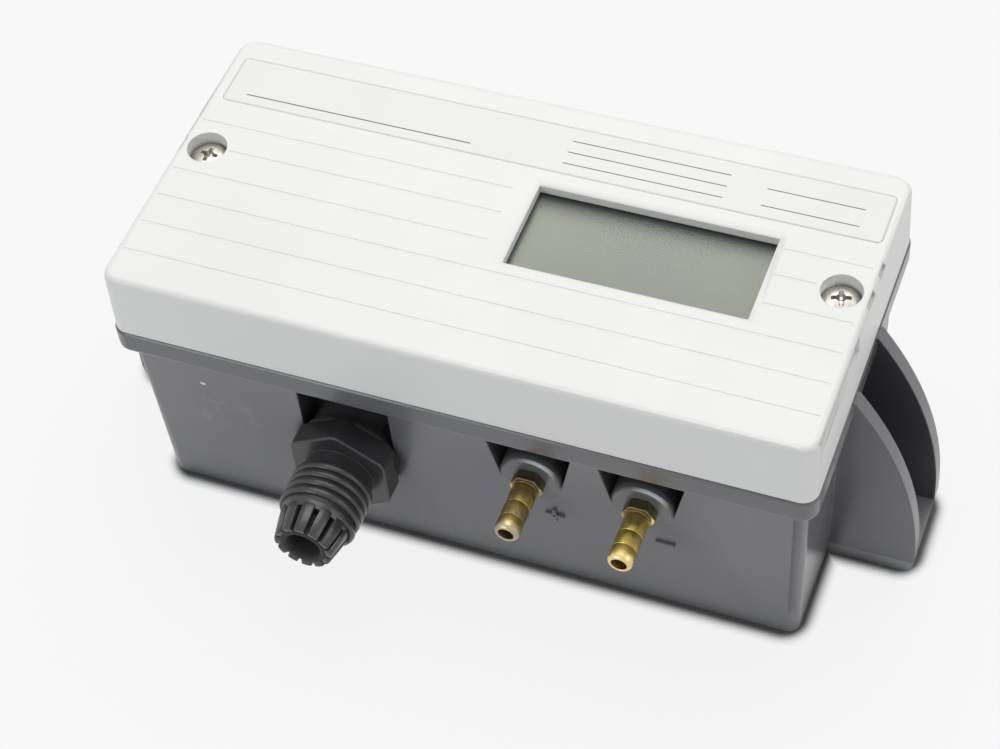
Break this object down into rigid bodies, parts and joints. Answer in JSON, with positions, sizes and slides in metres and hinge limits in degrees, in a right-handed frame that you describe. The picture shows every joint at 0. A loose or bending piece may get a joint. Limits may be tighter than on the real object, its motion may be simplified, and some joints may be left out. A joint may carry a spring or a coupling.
{
  "type": "differential pressure transmitter",
  "caption": "Box-shaped differential pressure transmitter: grooved pale cover with display window, grey base with gusseted end tabs, brass hose barbs and a black cable gland.",
  "frame": {"origin": "centre of the flat back face of the base, which lies on the wall", "axes": "+X along the length with the ports to the right of the gland, +Z out of the front cover, barbs and gland point along -Y"},
  "size_m": [0.169, 0.0909, 0.0636],
  "materials": {
    "base_plastic": "semi gloss moulded",
    "cover_plastic": "fine moulded grain",
    "seal_rubber": "matte",
    "plated_screw": "bright plated",
    "brass": "turned",
    "label_film": "satin film",
    "window_clear": "clear",
    "lcd_panel": "satin grey green",
    "dark_plastic": "matte",
    "contact_rubber": "matte",
    "circuit_board": "satin",
    "ribbon_grey": "satin",
    "gland_nylon": "satin nylon",
    "hose_soft": "translucent silicone",
    "capsule_steel": "turned",
    "ceramic_white": "glazed",
    "sheet_steel": "zinc plated",
    "terminal_plastic": "satin",
    "tinned_pin": "tinned",
    "trimmer_plastic": "satin",
    "chip_black": "matte",
    "capacitor_can": "sleeved can"
  },
  "bodies": {
    "housing": {"base_housing": "base_plastic", "front_cover": "cover_plastic", "cover_gasket": "seal_rubber", "cover_screws": "plated_screw", "threaded_inserts": "brass", "label_film": "label_film", "window_pane": "window_clear", "lcd_glass": "lcd_panel", "display_bezel": "dark_plastic", "contact_strips": "contact_rubber", "display_board": "circuit_board", "display_screws": "plated_screw", "display_plug": "dark_plastic", "display_ribbon": "ribbon_grey", "board_plug": "dark_plastic", "gland_body": "gland_nylon", "gland_seal": "seal_rubber", "gland_washer": "seal_rubber", "gland_locknut": "gland_nylon", "high_port_barb": "brass", "low_port_barb": "brass", "high_port_hose": "hose_soft", "low_port_hose": "hose_soft", "sensor_body_front": "capsule_steel", "sensor_diaphragm": "capsule_steel", "sensor_body_rear": "capsule_steel", "sensor_electrode": "capsule_steel", "electrode_insulator": "ceramic_white", "sensor_bracket": "sheet_steel", "sensor_clamp_screws": "plated_screw", "bracket_screws": "plated_screw", "main_board": "circuit_board", "board_screws": "plated_screw", "terminal_block": "terminal_plastic", "terminal_pins": "tinned_pin", "zero_trimmer_body": "trimmer_plastic", "span_trimmer_body": "trimmer_plastic", "controller_chip": "chip_black", "board_capacitors": "capacitor_can"},
    "zero_rotor": {"zero_trimmer_rotor": "ceramic_white"},
    "span_rotor": {"span_trimmer_rotor": "ceramic_white"},
    "terminal_screw_1": {"terminal_screw_1": "plated_screw"},
    "terminal_clamp_1": {"terminal_clamp_1": "sheet_steel"},
    "terminal_screw_2": {"terminal_screw_2": "plated_screw"},
    "terminal_clamp_2": {"terminal_clamp_2": "sheet_steel"},
    "terminal_screw_3": {"terminal_screw_3": "plated_screw"},
    "terminal_clamp_3": {"terminal_clamp_3": "sheet_steel"}
  },
  "joints": [
    {"name": "zero_adjust", "type": "hinge", "parent": "housing", "child": "zero_rotor", "pos_m": [-0.041, 0.014, 0.0156], "axis": [0, 0, 1], "range_deg": [-135, 135]},
    {"name": "span_adjust", "type": "hinge", "parent": "housing", "child": "span_rotor", "pos_m": [-0.027, 0.014, 0.0156], "axis": [0, 0, 1], "range_deg": [-135, 135]},
    {"name": "terminal_screw_1_turn", "type": "hinge", "parent": "housing", "child": "terminal_screw_1", "pos_m": [-0.02868, -0.007, 0.0249], "axis": [0, 0, -1], "range_deg": [0, 1441.5]},
    {"name": "terminal_clamp_1_rise", "type": "slide", "parent": "housing", "child": "terminal_clamp_1", "axis": [0, 0, 1], "range_m": [0, 0.002]},
    {"name": "terminal_screw_2_turn", "type": "hinge", "parent": "housing", "child": "terminal_screw_2", "pos_m": [-0.0236, -0.007, 0.0249], "axis": [0, 0, -1], "range_deg": [0, 1441.5]},
    {"name": "terminal_clamp_2_rise", "type": "slide", "parent": "housing", "child": "terminal_clamp_2", "axis": [0, 0, 1], "range_m": [0, 0.002]},
    {"name": "terminal_screw_3_turn", "type": "hinge", "parent": "housing", "child": "terminal_screw_3", "pos_m": [-0.01852, -0.007, 0.0249], "axis": [0, 0, -1], "range_deg": [0, 1441.5]},
    {"name": "terminal_clamp_3_rise", "type": "slide", "parent": "housing", "child": "terminal_clamp_3", "axis": [0, 0, 1], "range_m": [0, 0.002]}
  ],
  "couplings": [
    {"joint": "terminal_screw_1_turn", "follows": "terminal_clamp_1_rise", "rad_per_m": 12566},
    {"joint": "terminal_screw_2_turn", "follows": "terminal_clamp_2_rise", "rad_per_m": 12566},
    {"joint": "terminal_screw_3_turn", "follows": "terminal_clamp_3_rise", "rad_per_m": 12566}
  ]
}
